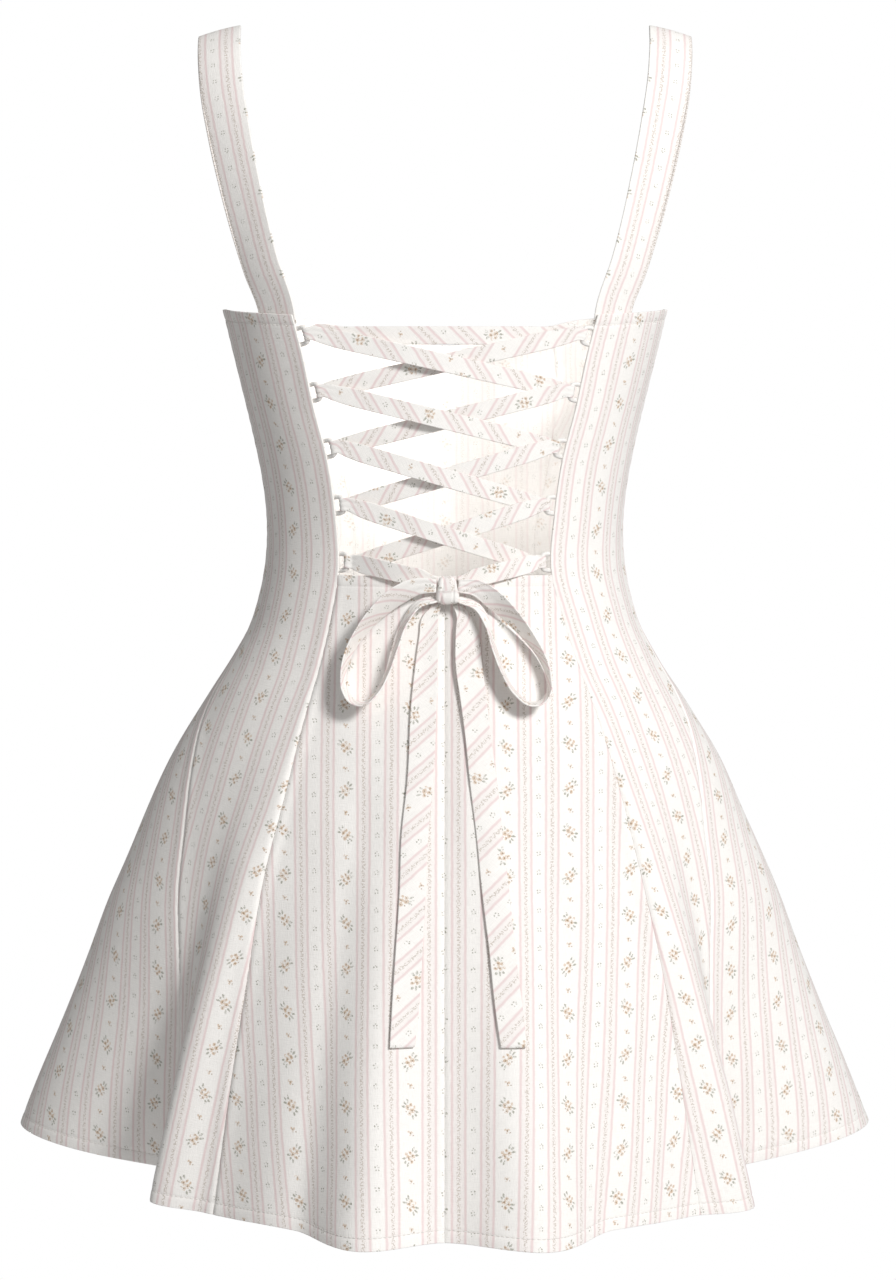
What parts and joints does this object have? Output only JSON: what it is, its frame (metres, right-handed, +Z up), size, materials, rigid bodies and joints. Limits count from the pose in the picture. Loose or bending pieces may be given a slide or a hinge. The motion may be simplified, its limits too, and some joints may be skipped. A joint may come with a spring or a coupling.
{
  "type": "corset dress",
  "caption": "Short flared dress of striped floral cotton with an open back laced through loops and tied in a bow.",
  "frame": {"origin": "midway between the crests of the two shoulder straps, on their centre lines, where the wearer's shoulders hold the dress", "axes": "+Z up, the laced back faces -Y and the front +Y, +X to the wearer's right"},
  "size_m": [0.5914, 0.5059, 0.7977],
  "materials": {
    "cotton": "matt",
    "ribbon": "matt",
    "loop_cord": "matt"
  },
  "bodies": {
    "root": {"back_centre_left": "cotton", "back_centre_right": "cotton", "back_side_left": "cotton", "back_side_right": "cotton", "side_front_left": "cotton", "side_front_right": "cotton", "front_centre": "cotton", "strap_left": "cotton", "strap_right": "cotton", "lace_loop_left_1": "loop_cord", "lace_loop_left_2": "loop_cord", "lace_loop_left_3": "loop_cord", "lace_loop_left_4": "loop_cord", "lace_loop_left_5": "loop_cord", "lace_loop_right_1": "loop_cord", "lace_loop_right_2": "loop_cord", "lace_loop_right_3": "loop_cord", "lace_loop_right_4": "loop_cord", "lace_loop_right_5": "loop_cord", "lace_top": "ribbon", "lace_down_right_1": "ribbon", "lace_down_right_2": "ribbon", "lace_down_right_3": "ribbon", "lace_down_right_4": "ribbon", "lace_down_left_1": "ribbon", "lace_down_left_2": "ribbon", "lace_down_left_3": "ribbon", "lace_down_left_4": "ribbon", "lace_end_left": "ribbon", "lace_end_right": "ribbon", "bow_knot": "ribbon", "bow_loop_left": "ribbon", "bow_loop_right": "ribbon", "lace_tail_left": "ribbon", "lace_tail_right": "ribbon"}
  },
  "joints": []
}
